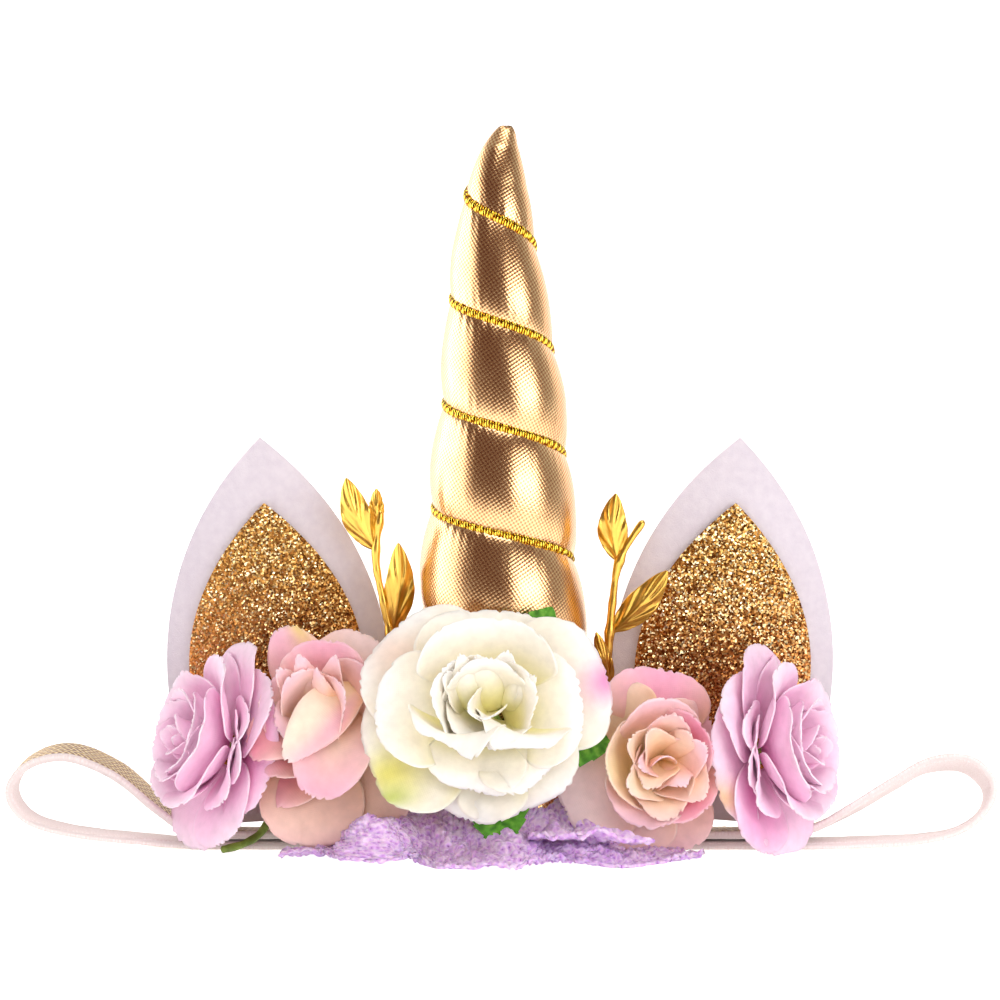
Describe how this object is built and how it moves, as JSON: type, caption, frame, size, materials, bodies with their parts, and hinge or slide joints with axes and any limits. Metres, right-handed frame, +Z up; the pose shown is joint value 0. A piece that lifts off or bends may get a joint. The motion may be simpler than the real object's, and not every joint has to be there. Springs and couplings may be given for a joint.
{
  "type": "unicorn horn headband",
  "caption": "Child's dress-up headband: a spiral-wound stuffed gold horn between two felt ears and gilt sprigs, with a row of fabric roses and a lace ruffle on a loop of elastic.",
  "frame": {"origin": "on the table, under the middle of the horn, on the flat underside of the elastic", "axes": "+Z up along the horn, +X to the viewer's right when the roses face the viewer, -Y towards the viewer, as worn forwards"},
  "size_m": [0.1775, 0.0583, 0.1301],
  "materials": {
    "elastic": "white plush elastic, gold lurex on its outer face",
    "gold_lame": "shiny gold lame cloth, padded",
    "gold_braid": "metallic gold braid",
    "felt": "soft white felt",
    "glitter_sheet": "gold glitter cloth",
    "gilt": "bright gilt, embossed leaves",
    "cream_petal": "white to cream petal cloth",
    "peach_petal": "peach to pink petal cloth",
    "lilac_petal": "lilac pink petal cloth",
    "green_leaf": "green leaf cloth",
    "green_stem": "green covered wire",
    "lace": "lilac cotton lace"
  },
  "bodies": {
    "root": {"elastic_band": "elastic", "horn": "gold_lame", "horn_cord": "gold_braid", "left_ear_felt": "felt", "right_ear_felt": "felt", "left_ear_glitter": "glitter_sheet", "right_ear_glitter": "glitter_sheet", "left_sprig": "gilt", "right_sprig": "gilt", "white_rose_core": "cream_petal", "white_rose_outer_petals": "cream_petal", "white_rose_middle_petals": "cream_petal", "white_rose_inner_petals": "cream_petal", "white_rose_leaves": "green_leaf", "left_peach_rose_core": "peach_petal", "left_peach_rose_outer_petals": "peach_petal", "left_peach_rose_middle_petals": "peach_petal", "left_peach_rose_inner_petals": "peach_petal", "left_peach_rose_leaves": "green_leaf", "left_peach_rose_stem": "green_stem", "right_peach_rose_core": "peach_petal", "right_peach_rose_outer_petals": "peach_petal", "right_peach_rose_middle_petals": "peach_petal", "right_peach_rose_inner_petals": "peach_petal", "right_peach_rose_stem": "green_stem", "left_lilac_rose_core": "lilac_petal", "left_lilac_rose_outer_petals": "lilac_petal", "left_lilac_rose_middle_petals": "lilac_petal", "left_lilac_rose_inner_petals": "lilac_petal", "left_lilac_rose_stem": "green_stem", "right_lilac_rose_core": "lilac_petal", "right_lilac_rose_outer_petals": "lilac_petal", "right_lilac_rose_middle_petals": "lilac_petal", "right_lilac_rose_inner_petals": "lilac_petal", "right_lilac_rose_stem": "green_stem", "lace_ruffle": "lace", "lace_flap": "lace"}
  },
  "joints": []
}
